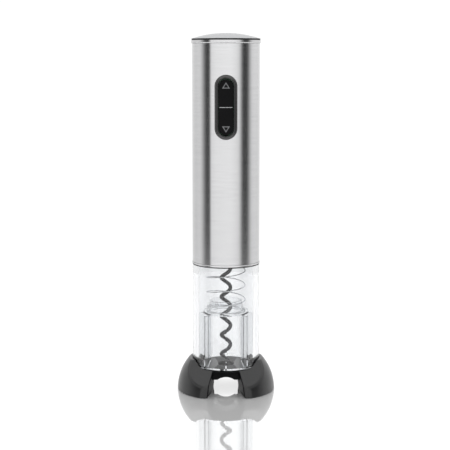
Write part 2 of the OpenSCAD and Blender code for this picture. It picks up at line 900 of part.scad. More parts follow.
// One of the two buttons, with a lip behind the frame and a post towards its switch
module button(up) {
    keep = up ? button_z + button_gap / 2 : button_z - button_gap / 2 - button_h;
    lip_keep = up ? keep : keep - button_h;
    color("#1b1b1c") difference() {
        union() {
            intersection() {
                oval(button_w, button_h, -2 * sleeve_r, -lip_front + 0.01);
                disc(button_front, 0, steel_top);
                translate([-sleeve_r, -2 * sleeve_r, keep]) cube([2 * sleeve_r, 2 * sleeve_r, button_h]);
            }
            intersection() {
                oval(button_w + 2 * button_lip, button_h + 2 * button_lip, -lip_front, -lip_front + lip_t);
                translate([-sleeve_r, -2 * sleeve_r, lip_keep]) cube([2 * sleeve_r, 2 * sleeve_r, 2 * button_h]);
            }
            translate([0, -post_end, button_z + (up ? 1 : -1) * switch_place]) rotate([90, 0, 0])
                cylinder(r = post_r, h = lip_front - post_end);
        }
        difference() {
            arrow_cut(up);
            disc(button_front - arrow_depth, 0, steel_top);
        }
    }
}

module up_button() button(true);

module down_button() button(false);

module plunger(up) {
    color("#3c3c3e") translate([0, -switch_front + 1, button_z + (up ? 1 : -1) * switch_place])
        rotate([90, 0, 0]) cylinder(r = plunger_r, h = post_end - switch_front + 1);
}

module up_plunger() plunger(true);

module down_plunger() plunger(false);

module switch_board() {
    color("seagreen") translate([-board_w / 2, board_front, button_z - board_h / 2])
        cube([board_w, board_t, board_h]);
}

// Two small push switches on the board, each open at its front for its plunger
module switches() {
    color("#303133") for (up = [-1, 1]) translate([0, 0, button_z + up * switch_place]) difference() {
        translate([-switch_w / 2, -switch_front, -switch_w / 2]) cube([switch_w, switch_t, switch_w]);
        translate([0, -switch_front + 1 + button_travel + 0.3, 0]) rotate([90, 0, 0])
            cylinder(r = plunger_r + 0.15, h = 5);
    }
}

// ---------- worm and cork guide ----------

module worm_hub() {
    color("#b9bcc0") difference() {
        disc(hub_r, hub_z, hub_top);
        disc(output_r + 0.02, output_low, hub_top + 1);
        disc(worm_wire / 2 + 0.02, hub_z - 1, output_low + 1);
    }
}

// Right-handed worm from its ground point up the winding and in to a shank on the axis
module worm() {
    step = 15;
    steps = round((worm_top_z - worm_tip_z) / worm_pitch * 360 / step);
    blend_steps = 11;
    point_steps = 10;
    function winding_r(k) = let (t = min(1, (steps - k) / blend_steps)) worm_path_r * t * t * (3 - 2 * t);
    function wire_r(k) = worm_wire / 2 * max(0.15, min(1, k / point_steps));
    winding = [for (k = [0:steps])
        [winding_r(k), worm_tip_angle + k * step, worm_tip_z + k * step / 360 * worm_pitch, wire_r(k)]];
    end_angle = worm_tip_angle + steps * step;
    shank = [for (z = [hub_z + 1, output_low - 0.2]) [0, end_angle, z, worm_wire / 2]];
    color("#232325") wound_wire(concat(winding, shank), 8);
}

module guide_spring() {
    color("silver") coil(spring_r, spring_wire / 2, spring_low, spring_high, spring_pitch, spring_start);
}

// Bell-shaped ring that centres the bottle's mouth, pressed down by the guide spring
module cork_guide() {
    base = guide_z;
    seat = guide_z + guide_flange;
    top = guide_z + guide_h;
    color("#eef0f2", 0.35) rotate_extrude() polygon([
        [guide_top_r + 0.2, base], [guide_r - 0.4, base], [guide_r, base + 0.5],
        [guide_r - 0.3, seat], [guide_top_r + 1.2, seat], [guide_top_r + 0.6, seat + 3],
        [guide_top_r, top], [guide_top_r - guide_wall, top], [guide_top_r - guide_wall + 0.5, seat + 3]
    ]);
}

cutter_body();
left_wheel_cover();
right_wheel_cover();
wheel_pins();
cover_screws();
cutting_wheel_1();
cutting_wheel_2();
cutting_wheel_3();
cutting_wheel_4();
clear_sleeve();
trim_ring();
steel_sleeve();
cap_ring();
top_cap();
cap_gasket();
cap_contacts();
front_shell();
rear_shell();
shell_screws();
end_cup();
gearbox_base();
output_bush();
ring_gear();
gearbox_screws();
output_carrier();
planet_gear_1();
planet_gear_2();
planet_gear_3();
planet_gear_4();
planet_gear_5();
planet_gear_6();
first_carrier();
motor_plate();
motor_screws();
motor_can();
motor_magnets();
motor_end_bell();
motor_shaft();
armature();
windings();
drive_pinion();
motor_leads();
battery_holder();
holder_contacts();
cell_1();
cell_2();
cell_3();
cell_4();
button_bezel();
up_button();
down_button();
up_plunger();
down_plunger();
switch_board();
switches();
worm_hub();
worm();
cork_guide();
guide_spring();
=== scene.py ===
"""Looks of a battery wine opener that stands in its foil cutter.

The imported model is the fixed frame. Each sub-assembly below dresses its own nodes and, where a
smoother or finer shape is needed, builds new pieces as surfaces over a grid.
Lengths are metres, Z is up, and the buttons face -Y.
"""

import logging
import math
from dataclasses import dataclass
from enum import Enum

import bpy
import numpy as np
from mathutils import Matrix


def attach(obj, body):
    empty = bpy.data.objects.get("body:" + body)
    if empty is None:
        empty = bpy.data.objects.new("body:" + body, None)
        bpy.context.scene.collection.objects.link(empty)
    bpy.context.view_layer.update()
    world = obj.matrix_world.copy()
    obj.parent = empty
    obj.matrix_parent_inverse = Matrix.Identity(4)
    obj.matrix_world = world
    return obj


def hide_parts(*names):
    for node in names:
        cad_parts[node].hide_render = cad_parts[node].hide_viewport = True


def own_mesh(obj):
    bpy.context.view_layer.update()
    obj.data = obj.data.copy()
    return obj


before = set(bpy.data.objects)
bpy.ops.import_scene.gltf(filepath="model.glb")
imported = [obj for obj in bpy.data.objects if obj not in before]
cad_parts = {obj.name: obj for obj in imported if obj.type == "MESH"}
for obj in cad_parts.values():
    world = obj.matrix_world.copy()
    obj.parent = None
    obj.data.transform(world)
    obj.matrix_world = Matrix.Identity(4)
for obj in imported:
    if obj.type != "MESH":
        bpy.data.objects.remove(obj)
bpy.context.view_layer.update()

LOG = logging.getLogger("wine_opener")
MM = 0.001
TURN = 2 * math.pi
LATHE_SIDES = 144
Tree = bpy.types.NodeTree
Node = bpy.types.Node
Socket = bpy.types.NodeSocket
Piece = bpy.types.Object
Colour = tuple[float, float, float, float]


# ---------- colours and nodes ----------


def linear(code: str) -> Colour:
    """Turns an sRGB hex code such as "#2b2b2c" into a linear colour.

    Args:
        code: six hex digits after a hash sign.

    Returns:
        Red, green and blue in linear light, and an alpha of 1.
    """
    values = np.array([int(code[i : i + 2], 16) for i in (1, 3, 5)]) / 255
    low, high = values / 12.92, ((values + 0.055) / 1.055) ** 2.4
    red, green, blue = np.where(values <= 0.04045, low, high)
    return float(red), float(green), float(blue), 1.0


def add(tree: Tree, kind: str, settings: dict | None = None,
        links: dict | None = None) -> Node:
    """Adds one node with its settings and its links.

    Args:
        tree: the node tree to add to.
        kind: the node's type name.
        settings: values by socket name or number, or by the node's own property name.
        links: source sockets by the name or number of the input that they feed.

    Returns:
        The new node.
    """
    node = tree.nodes.new(kind)
    for key, value in (settings or {}).items():
        if isinstance(key, int) or key in node.inputs:
            node.inputs[key].default_value = value
        else:
            setattr(node, key, value)
    for key, source in (links or {}).items():
        tree.links.new(source, node.inputs[key])
    return node


def add_ramp(tree: Tree, source: Socket,
             stops: list[tuple[float, Colour]]) -> Socket:
    """Adds a colour ramp with its stops.

    Args:
        tree: the node tree to add to.
        source: the socket that drives the ramp, from 0 to 1.
        stops: place and linear colour of each stop, in rising order.

    Returns:
        The ramp's colour socket.
    """
    node = add(tree, "ShaderNodeValToRGB", links={"Fac": source})
    marks = node.color_ramp.elements
    while len(marks) < len(stops):
        marks.new(0.5)
    for mark, (place, colour) in zip(marks, stops):
        mark.position = place
        mark.color = colour
    return node.outputs["Color"]


def grey(level: float) -> Colour:
    """A neutral linear colour of one brightness."""
    return level, level, level, 1.0


# ---------- finishes ----------


@dataclass(frozen=True)
class Finish:
    """What a surface is made of. Each kind says in dress() what its grain does to the eye."""

    name: str

    def material(self) -> bpy.types.Material:
        """The finish's material, made on first use."""
        known = bpy.data.materials.get(self.name)
        if known is not None:
            return known
        made = bpy.data.materials.new(self.name)
        made.use_nodes = True
        tree = made.node_tree
        shader = next(n for n in tree.nodes if n.type == "BSDF_PRINCIPLED")
        place = add(tree, "ShaderNodeTexCoord").outputs["Object"]
        self.dress(tree, shader, place)
        return made

    def dress(self, tree: Tree, shader: Node, place: Socket) -> None:
        """Adds this finish's pattern and settings to the shader."""
        raise NotImplementedError

    def noise(self, tree: Tree, place: Socket, size: float,
              stretch: tuple[float, float, float] = (1, 1, 1), detail: float = 2) -> Socket:
        """Noise whose spots are about one size across.

        Args:
            tree: the material's node tree.
            place: object coordinates.
            size: width of a spot in metres.
            stretch: how much longer a spot is along each axis.
            detail: levels of finer noise on top.

        Returns:
            The noise's value socket, from 0 to 1.
        """
        scale = tuple(1 / (size * s) for s in stretch)
        spread = add(tree, "ShaderNodeMapping", {"Scale": scale}, {"Vector": place})
        return add(tree, "ShaderNodeTexNoise", {"Scale": 1.0, "Detail": detail},
                   {"Vector": spread.outputs["Vector"]}).outputs["Fac"]

    def ranged(self, tree: Tree, source: Socket,
               low: float, high: float) -> Socket:
        """Maps noise, which stays near its middle, to a range of values."""
        return add(tree, "ShaderNodeMapRange", {"From Min": 0.3, "From Max": 0.7, "To Min": low,
                                                "To Max": high}, {"Value": source}).outputs["Result"]

    def paint(self, tree: Tree, shader: Node, source: Socket, first: str, second: str) -> None:
        """Runs the base colour from one sRGB colour to another along a source."""
        run = add_ramp(tree, source, [(0.3, linear(first)), (0.7, linear(second))])
        tree.links.new(run, shader.inputs["Base Color"])

    def polish(self, tree: Tree, shader: Node, source: Socket, low: float, high: float) -> None:
        """Runs the roughness from one value to another along a source."""
        tree.links.new(self.ranged(tree, source, low, high), shader.inputs["Roughness"])

    def bump(self, tree: Tree, shader: Node, source: Socket,
             depth: float, strength: float = 1.0) -> None:
        """Feeds a height of the given depth in metres to the shader's normal."""
        node = add(tree, "ShaderNodeBump", {"Distance": depth, "Strength": strength}, {"Height": source})
        tree.links.new(node.outputs["Normal"], shader.inputs["Normal"])


@dataclass(frozen=True)
class MouldedPlastic(Finish):
    """Injection-moulded ABS or acetal from a spark-eroded tool: a fine even grain and a soft sheen,
    with a slight drift of tone where the melt flowed."""

    colour: str
    drift: str
    roughness: float
    grain: float = 0.5 * MM
    depth: float = 0.01 * MM
    coat: float = 0.0
    specular: float = 0.5

    def dress(self, tree: Tree, shader: Node, place: Socket) -> None:
        """Drifting tone, fine grain in the height and a little unevenness in the sheen."""
        flow = self.noise(tree, place, 14 * MM)
        fine = self.noise(tree, place, self.grain)
        self.paint(tree, shader, flow, self.colour, self.drift)
        self.polish(tree, shader, fine, self.roughness * 0.88, self.roughness * 1.12)
        shader.inputs["IOR"].default_value = 1.52
        shader.inputs["Specular IOR Level"].default_value = self.specular
        shader.inputs["Coat Weight"].default_value = self.coat
        shader.inputs["Coat Roughness"].default_value = 0.05
        shader.inputs["Coat IOR"].default_value = 1.62
        self.bump(tree, shader, fine, self.depth)


@dataclass(frozen=True)
class CutterPlastic(MouldedPlastic):
    """Moulded plastic with its shine turned down inside the slanted ways. This is painted shade, so that their
    sides and the bridge stay almost black as a deep shaded recess does, while the outside has a sheen."""

    painted_shade_way: tuple[float, float, float] = (0.9712, -0.1994, 0.1305)
    painted_shade_start: float = 7.4 * MM
    painted_shade_blend: float = 0.4 * MM
    painted_shade_shine: float = 0.03

    def dress(self, tree: Tree, shader: Node, place: Socket) -> None:
        """The plastic's own grain, with less shine past the plane of a way's slanted side: painted shade for the
        deep recess.
        """
        super().dress(tree, shader, place)
        quarter = add(tree, "ShaderNodeVectorMath", {"operation": "ABSOLUTE"}, {0: place})
        along = add(tree, "ShaderNodeVectorMath", {"operation": "DOT_PRODUCT", 1: self.painted_shade_way},
                    {0: quarter.outputs["Vector"]})
        # painted shade: the shine falls to a low level inside the ways and under the bridge
        shine = add(tree, "ShaderNodeMapRange",
                    {"From Min": self.painted_shade_start, "From Max": self.painted_shade_start + self.painted_shade_blend,
                     "To Min": self.painted_shade_shine, "To Max": self.specular}, {"Value": along.outputs["Value"]})
        tree.links.new(shine.outputs["Result"], shader.inputs["Specular IOR Level"])


@dataclass(frozen=True)
class BrushedMetal(Finish):
    """Drawn or ground metal with fine scratches that run round Z: they pull each highlight into an
    upright streak. The real scratches are about 0.05 mm apart and are drawn coarser, so they show."""

    colour: str
    drift: str
    roughness: float
    line: float = 0.35 * MM
    anisotropy: float = 0.7
    depth: float = 0.002 * MM
    unevenness: float = 0.1

    def dress(self, tree: Tree, shader: Node, place: Socket) -> None:
        """Scratch lines in the tone, the sheen and the height."""
        lines = self.noise(tree, place, self.line, (60, 60, 1), detail=3)
        clouds = self.noise(tree, place, 25 * MM)
        tone = add(tree, "ShaderNodeMath", {"operation": "MULTIPLY_ADD", 1: 0.85, 2: 0.0}, {0: lines})
        both = add(tree, "ShaderNodeMath", {"operation": "MULTIPLY_ADD", 1: 0.15},
                   {0: clouds, 2: tone.outputs[0]})
        self.paint(tree, shader, both.outputs[0], self.colour, self.drift)
        low, high = self.roughness * (1 - self.unevenness), self.roughness * (1 + self.unevenness)
        self.polish(tree, shader, lines, low, high)
        shader.inputs["Metallic"].default_value = 1.0
        shader.inputs["Anisotropic"].default_value = self.anisotropy
        shader.inputs["Anisotropic Rotation"].default_value = 0.25
        around = add(tree, "ShaderNodeTangent", {"direction_type": "RADIAL", "axis": "Z"})
        tree.links.new(around.outputs["Tangent"], shader.inputs["Tangent"])
        self.bump(tree, shader, lines, self.depth)


@dataclass(frozen=True)
class PlainMetal(Finish):
    """Turned, sintered, cast or plated metal: a fine even tooth and cloudy patches of tone."""

    colour: str
    drift: str
    roughness: float
    grain: float = 0.4 * MM
    depth: float = 0.004 * MM

    def dress(self, tree: Tree, shader: Node, place: Socket) -> None:
        """Cloudy tone with a fine tooth in sheen and height."""
        clouds = self.noise(tree, place, 6 * MM, detail=4)
        fine = self.noise(tree, place, self.grain)
        self.paint(tree, shader, clouds, self.colour, self.drift)
        self.polish(tree, shader, fine, self.roughness * 0.85, self.roughness * 1.15)
        shader.inputs["Metallic"].default_value = 1.0
        self.bump(tree, shader, fine, self.depth)


@dataclass(frozen=True)
class ClearPlastic(Finish):
    """Polished clear SAN: it bends the light at its walls and ribs, and slow ripples left by the
    moulding make the bright lines behind it waver a little."""

    tint: str
    roughness: float = 0.02
    ripple: float = 9 * MM
    depth: float = 0.02 * MM

    def dress(self, tree: Tree, shader: Node, place: Socket) -> None:
        """Full transmission with a faint tint, and ripples that run along the sleeve."""
        flow = self.noise(tree, place, self.ripple, (1, 1, 5), detail=1)
        fine = self.noise(tree, place, 3 * MM, (1, 1, 3))
        self.paint(tree, shader, flow, self.tint, "#f3f4f5")
        self.polish(tree, shader, fine, self.roughness * 0.6, self.roughness * 1.4)
        shader.inputs["Transmission Weight"].default_value = 1.0
        shader.inputs["IOR"].default_value = 1.49
        self.bump(tree, shader, flow, self.depth, 0.5)


@dataclass(frozen=True)
class MirrorBoard(Finish):
    """White acrylic over a part-silvered back: partly a mirror, partly a matt white."""

    silvering: float = 0.55

    def dress(self, tree: Tree, shader: Node, place: Socket) -> None:
        """A faint cloudiness of tone, and a mirror share over the white."""
        cloud = self.noise(tree, place, 30 * MM)
        self.paint(tree, shader, cloud, "#f3f3f3", "#f6f6f6")
        self.polish(tree, shader, cloud, 0.02, 0.04)
        shader.inputs["Metallic"].default_value = self.silvering


@dataclass(frozen=True)
class CoatedSteel(Finish):
    """Carbon steel with a sprayed non-stick coat: near black and satin, worn to a warmer grey
    towards the point that goes through the corks."""

    colour: str
    worn: str
    worn_z: tuple[float, float]

    def dress(self, tree: Tree, shader: Node, place: Socket) -> None:
        """Wear that grows towards the point and breaks up in patches."""
        height = add(tree, "ShaderNodeSeparateXYZ", links={0: place}).outputs["Z"]
        patches = self.noise(tree, place, 2.5 * MM, detail=4)
        low, high = self.worn_z
        wear = add(tree, "ShaderNodeMapRange",
                   {"From Min": high, "From Max": low, "To Min": 0.0, "To Max": 0.62},
                   {"Value": height}).outputs["Result"]
        broken = add(tree, "ShaderNodeMath", {"operation": "MULTIPLY_ADD", 1: 0.5}, {0: patches, 2: wear})
        self.paint(tree, shader, broken.outputs[0], self.colour, self.worn)
        fine = self.noise(tree, place, 0.25 * MM)
        self.polish(tree, shader, fine, 0.26, 0.4)
        shader.inputs["Specular IOR Level"].default_value = 0.12
        self.bump(tree, shader, fine, 0.006 * MM)


@dataclass(frozen=True)
class WoundCopper(Finish):
    """Enamelled copper wire wound in tight turns 0.35 mm apart: fine ridges with a varnish gloss."""

    colour: str
    drift: str

    def dress(self, tree: Tree, shader: Node, place: Socket) -> None:
        """Bands across Z, one for each turn of wire."""
        turns = add(tree, "ShaderNodeTexWave", {"bands_direction": "X", "Scale": 0.314 / (0.35 * MM),
                                                "Distortion": 0.6}, {"Vector": place}).outputs["Fac"]
        self.paint(tree, shader, turns, self.colour, self.drift)
        self.polish(tree, shader, turns, 0.34, 0.24)
        shader.inputs["Metallic"].default_value = 1.0
        shader.inputs["Coat Weight"].default_value = 0.5
        self.bump(tree, shader, turns, 0.08 * MM)


@dataclass(frozen=True)
class CoatedBoard(Finish):
    """Glass-epoxy board under green solder resist, with copper tracks that stand a little proud."""

    colour: str
    track: str

    def dress(self, tree: Tree, shader: Node, place: Socket) -> None:
        """Tracks as blocks of a brick pattern 1.6 mm apart, seen through the resist."""
        turned = add(tree, "ShaderNodeMapping", {"Rotation": (math.pi / 2, 0, 0)}, {"Vector": place})
        tracks = add(tree, "ShaderNodeTexBrick", {"Scale": 1 / (3.2 * MM), "Color1": grey(1.0),
                                                  "Color2": grey(0.8), "Mortar": grey(0.0),
                                                  "Mortar Size": 0.06},
                     {"Vector": turned.outputs["Vector"]}).outputs["Color"]
        self.paint(tree, shader, tracks, self.track, self.colour)
        self.polish(tree, shader, self.noise(tree, place, 1 * MM), 0.25, 0.35)
        self.bump(tree, shader, tracks, 0.05 * MM)


@dataclass(frozen=True)
class CellJacket(Finish):
    """Shrunk printed film round a dry cell: glossy, dark along the can with a warm band at the end
    that has the nub."""

    colour: str
    band: str
    band_z: tuple[float, float]

    def dress(self, tree: Tree, shader: Node, place: Socket) -> None:
        """A band from one height to another, and faint wrinkles in the film."""
        height = add(tree, "ShaderNodeSeparateXYZ", links={0: place}).outputs["Z"]
        above = add(tree, "ShaderNodeMath", {"operation": "GREATER_THAN", 1: self.band_z[0]}, {0: height})
        below = add(tree, "ShaderNodeMath", {"operation": "LESS_THAN", 1: self.band_z[1]}, {0: height})
        both = add(tree, "ShaderNodeMath", {"operation": "MULTIPLY"},
                   {0: above.outputs[0], 1: below.outputs[0]})
        self.paint(tree, shader, both.outputs[0], self.colour, self.band)
        film = self.noise(tree, place, 4 * MM, (1, 1, 3))
        self.polish(tree, shader, film, 0.16, 0.26)
        shader.inputs["Metallic"].default_value = 0.3
        self.bump(tree, shader, film, 0.03 * MM)


@dataclass(frozen=True)
class LeadCover(Finish):
    """Extruded PVC over stranded wire, red on the left lead and black on the right one."""

    left: str
    right: str

    def dress(self, tree: Tree, shader: Node, place: Socket) -> None:
        """One colour on each side of the middle, and the faint twist of the strands."""
        side = add(tree, "ShaderNodeSeparateXYZ", links={0: place}).outputs["X"]
        right = add(tree, "ShaderNodeMath", {"operation": "GREATER_THAN", 1: 0.0}, {0: side})
        self.paint(tree, shader, right.outputs[0], self.left, self.right)
        strands = self.noise(tree, place, 0.4 * MM, (1, 1, 4))
        self.polish(tree, shader, strands, 0.35, 0.5)
        self.bump(tree, shader, strands, 0.03 * MM)


class Finishes(Enum):
    """Every finish on the opener."""

    # painted shade: this plastic's shine is turned down inside the ways
    CUTTER_ABS = CutterPlastic("charcoal_moulded_abs", "#0f0f10", "#141415", 0.31, 0.45 * MM, 0.012 * MM,
                               specular=0.45)
    COVER_ABS = MouldedPlastic("black_moulded_abs", "#111112", "#161617", 0.42)
    SHELL_ABS = MouldedPlastic("dark_grey_moulded_abs", "#333436", "#3c3d3f", 0.5)
    HOLDER_ABS = MouldedPlastic("holder_moulded_abs", "#222325", "#2a2b2e", 0.48)
    FRAME_ABS = MouldedPlastic("gloss_black_abs", "#0a0a0b", "#0d0d0e", 0.14, 1 * MM, 0.002 * MM, 1.0, 0.15)
    BUTTON_ABS = MouldedPlastic("soft_lacquered_button_abs", "#080809", "#0b0b0c", 0.36, 0.4 * MM, 0.006 * MM,
                                specular=0.06)
    # painted highlight: a pale strip for the lit edge at the buttons' split
    SPLIT_HIGHLIGHT_PAINT = MouldedPlastic("painted_split_highlight", "#a6a7a9", "#aeafb1", 0.3, 0.3 * MM)
    ARROW_INK = MouldedPlastic("light_grey_pad_print", "#5c5d5f", "#646567", 0.45, 0.3 * MM)
    SWITCH_PBT = MouldedPlastic("black_pbt", "#26272a", "#303134", 0.45)
    GEAR_ACETAL = MouldedPlastic("natural_acetal", "#e6e1d2", "#efebdf", 0.32, 0.8 * MM)
    WHITE_NYLON = MouldedPlastic("white_nylon", "#e4e4e0", "#eeeeea", 0.42)
    # black rubber of the cap gasket, also used as painted shade on the seam rings
    GASKET_AND_SEAM_SHADE = MouldedPlastic("black_rubber_and_painted_seam_shade", "#121213", "#1a1a1b", 0.7, 0.3 * MM)
    MAGNET_FERRITE = MouldedPlastic("sintered_ferrite", "#38383b", "#434347", 0.62, 0.2 * MM)
    SLEEVE_STEEL = BrushedMetal("brushed_stainless_sleeve", "#bdbdbe", "#c8c8c9", 0.2, anisotropy=0.8)
    RING_STEEL = BrushedMetal("polished_stainless_ring", "#c4c4c5", "#cdcdce", 0.12, 0.5 * MM, 0.3)
    CAP_ALUMINIUM = BrushedMetal("satin_anodised_aluminium", "#9b9c9e", "#a2a3a5", 0.34, 0.4 * MM, 0.0)
    CAN_STEEL = BrushedMetal("zinc_plated_steel", "#c4c6c9", "#d6d8da", 0.3, 0.6 * MM, 0.4)
    SHAFT_STEEL = PlainMetal("turned_steel", "#c2c3c5", "#d6d7d8", 0.24)
    WHEEL_STEEL = PlainMetal("hardened_ground_steel", "#cfd0d1", "#e0e1e2", 0.16, 0.2 * MM)
    WIRE_STEEL = PlainMetal("drawn_stainless_wire", "#bdbec0", "#d2d3d4", 0.2, 0.3 * MM)
    GEAR_ZINC = PlainMetal("cast_zinc", "#85888c", "#9b9ea2", 0.42, 0.7 * MM, 0.02 * MM)
    CORE_STEEL = PlainMetal("laminated_core_steel", "#6f7175", "#83868a", 0.45, 0.5 * MM, 0.02 * MM)
    BUSH_BRONZE = PlainMetal("sintered_bronze", "#a3794a", "#b98d59", 0.38, 0.3 * MM, 0.012 * MM)
    CONTACT_NICKEL = PlainMetal("nickel_plated_spring_brass", "#cdc7b4", "#ddd8c8", 0.2)
    CLEAR_SAN = ClearPlastic("clear_polished_san", "#ebeced")
    CLEAR_GUIDE = ClearPlastic("clear_moulded_polycarbonate", "#f6f7f8", 0.04, 6 * MM)
    WORM_COAT = CoatedSteel("non_stick_coated_worm", "#0c0c0d", "#3b393f", (20 * MM, 75 * MM))
    COPPER_WIRE = WoundCopper("enamelled_copper_wire", "#b5602d", "#d98a4f")
    BOARD_RESIST = CoatedBoard("green_resist_board", "#1c5a38", "#3f8a5c")
    LEAD_PVC = LeadCover("pvc_lead_cover", "#a3201c", "#1a1a1b")


def dress(node: str, finish: Finish) -> None:
    """Gives a CAD node one finish on every material slot.

    Args:
        node: the node's name.
        finish: what it is made of.
    """
    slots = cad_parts[node].material_slots
    for slot in slots:
        slot.link = "OBJECT"
        slot.material = finish.material()
    LOG.info("dressed %s in %s", node, finish.name)


# ---------- surfaces ----------


def outward(points: np.ndarray, faces: np.ndarray) -> np.ndarray:
    """Faces of a closed skin, turned round if they point inwards.

    The skin's volume is a sixth of the sum, over its triangles, of the first corner's product
    with the cross product of the other two. It is negative where the faces point inwards.

    Args:
        points: corners, as an array of points and three coordinates.
        faces: corner numbers, four to a face; a triangle repeats its last one.

    Returns:
        The faces, all pointing outwards.
    """
    a, b, c, d = (points[faces[:, k]] for k in range(4))
    volume = np.sum(a * np.cross(b, c)) + np.sum(a * np.cross(c, d))
    return faces if volume > 0 else faces[:, [1, 0, 3, 2]]


def piece_of(name: str, points: np.ndarray, faces: np.ndarray, finish: Finish,
             crease: float = 40) -> Piece:
    """Makes a piece of points and faces, smooth up to a crease angle in degrees.

    Args:
        name: the piece's name.
        points: corners in metres.
        faces: corner numbers, four to a face; a triangle repeats its last one.
        finish: what the piece is made of.
        crease: edges sharper than this stay sharp.

    Returns:
        The piece, at the origin, with its place in its mesh.
    """
    turned = outward(points, faces)
    fan = turned[:, 2] == turned[:, 3]
    whole = turned[~fan].tolist() + turned[fan, :3].tolist()
    mesh = bpy.data.meshes.new(name)
    mesh.from_pydata(points.tolist(), [], whole)
    mesh.polygons.foreach_set("use_smooth", np.ones(len(whole), dtype=bool))
    mesh.set_sharp_from_angle(angle=math.radians(crease))
    mesh.materials.append(finish.material())
    mesh.update()
    piece = bpy.data.objects.new(name, mesh)
    bpy.context.scene.collection.objects.link(piece)
    LOG.info("built %s with %d faces", name, len(whole))
    return piece


def skinned(name: str, rings: np.ndarray, finish: Finish, closed: bool = True) -> Piece:
    """Skins a grid of rings, each joined back to its own start.

    A face joins columns i and i+1 of rings k and k+1. If closed, a fan from the middle of the
    first and of the last ring shuts each end; otherwise the last ring joins the first.

    Args:
        name: the piece's name.
        rings: points as an array of rings, sides and three coordinates, in metres.
        finish: what the piece is made of.
        closed: whether the ends are shut with fans, or joined to each other.

    Returns:
        The piece.
    """
    count, sides = rings.shape[:2]
    index = np.arange(count * sides).reshape(count, sides)
    across = np.roll(index, -1, axis=1)
    if not closed:
        ahead, both = np.roll(index, -1, axis=0), np.roll(across, -1, axis=0)
        faces = np.stack([index, across, both, ahead], axis=-1).reshape(-1, 4)
        return piece_of(name, rings.reshape(-1, 3), faces, finish)
    quads = np.stack([index[:-1], across[:-1], across[1:], index[1:]], axis=-1).reshape(-1, 4)
    first, last = np.full(sides, count * sides), np.full(sides, count * sides + 1)
    foot = np.stack([across[0], index[0], first, first], axis=-1)
    head = np.stack([index[-1], across[-1], last, last], axis=-1)
    points = np.vstack([rings.reshape(-1, 3), rings[0].mean(0), rings[-1].mean(0)])
    return piece_of(name, points, np.vstack([quads, foot, head]), finish)


def lathed(name: str, profile: np.ndarray, finish: Finish) -> Piece:
    """Turns a closed profile of radius and height about Z: (r cos a, r sin a, z)."""
    turn = np.linspace(0, TURN, LATHE_SIDES, endpoint=False)[:, None]
    r, z = profile[None, :, 0], profile[None, :, 1]
    rings = np.stack([r * np.cos(turn), r * np.sin(turn), z + 0 * turn], axis=-1)
    return skinned(name, rings, finish, closed=False)


def rounded_meet(first: np.ndarray, second: np.ndarray, r: float) -> np.ndarray:
    """Where two solids meet, with the edge between them rounded.

    Each field is the distance outside a solid, negative inside. The meeting is the larger of the
    two where it is deep, and near the edge the distance from a point sunk by r into both.

    Args:
        first: one solid's field.
        second: the other solid's field.
        r: radius of the rounded edge.

    Returns:
        The field of what is in both.
    """
    near = np.hypot(np.maximum(r + first, 0), np.maximum(r + second, 0))
    return np.minimum(-r, np.maximum(first, second)) + near


def netted(name: str, field: np.ndarray, origin: np.ndarray, step: float, finish: Finish) -> Piece:
    """Draws the surface where a field on a grid is zero.

    Each grid cell that the surface passes through gets one point, the mean of the places where
    the field changes sign along the cell's edges, each found by straight interpolation. Each grid
    edge with a change of sign gets one face, which joins the points of the four cells round it.

    Args:
        name: the piece's name.
        field: values over a grid, negative inside.
        origin: the grid's lowest corner, in metres.
        step: the grid's spacing, in metres.
        finish: what the piece is made of.

    Returns:
        The piece.
    """
    shape = np.array(field.shape)
    total = np.zeros((*(shape - 1), 3))
    count = np.zeros(shape - 1)
    crossings = []
    for axis in range(3):
        low = np.take(field, range(shape[axis] - 1), axis)
        high = np.take(field, range(1, shape[axis]), axis)
        hit = (low < 0) != (high < 0)
        share = np.where(hit, low / np.where(hit, low - high, 1), 0)
        place = np.stack(np.indices(low.shape), axis=-1).astype(float)
        place[..., axis] += share
        others = [k for k in range(3) if k != axis]
        for shift in ((0, 0), (0, 1), (1, 0), (1, 1)):
            window = [slice(None)] * 3
            for k, by in zip(others, shift):
                window[k] = slice(by, shape[k] - 1 + by)
            part = hit[tuple(window)]
            total += place[tuple(window)] * part[..., None]
            count += part
        crossings.append((axis, hit, low < 0))
    used = count > 0
    number = np.full(shape - 1, -1)
    number[used] = np.arange(used.sum())
    points = origin + total[used] / count[used][:, None] * step
    faces = []
    for axis, hit, inside in crossings:
        second, third = (axis + 1) % 3, (axis + 2) % 3
        at = np.argwhere(hit)
        back, side = np.eye(3, dtype=int)[second], np.eye(3, dtype=int)[third]
        corners = [number[tuple((at - by).T)] for by in (back + side, side, 0 * back, back)]
        quad = np.stack(corners, axis=-1)
        out = inside[tuple(at.T)]
        faces.append(np.where(out[:, None], quad, quad[:, ::-1]))
    return piece_of(name, points, np.vstack(faces), finish, crease=60)


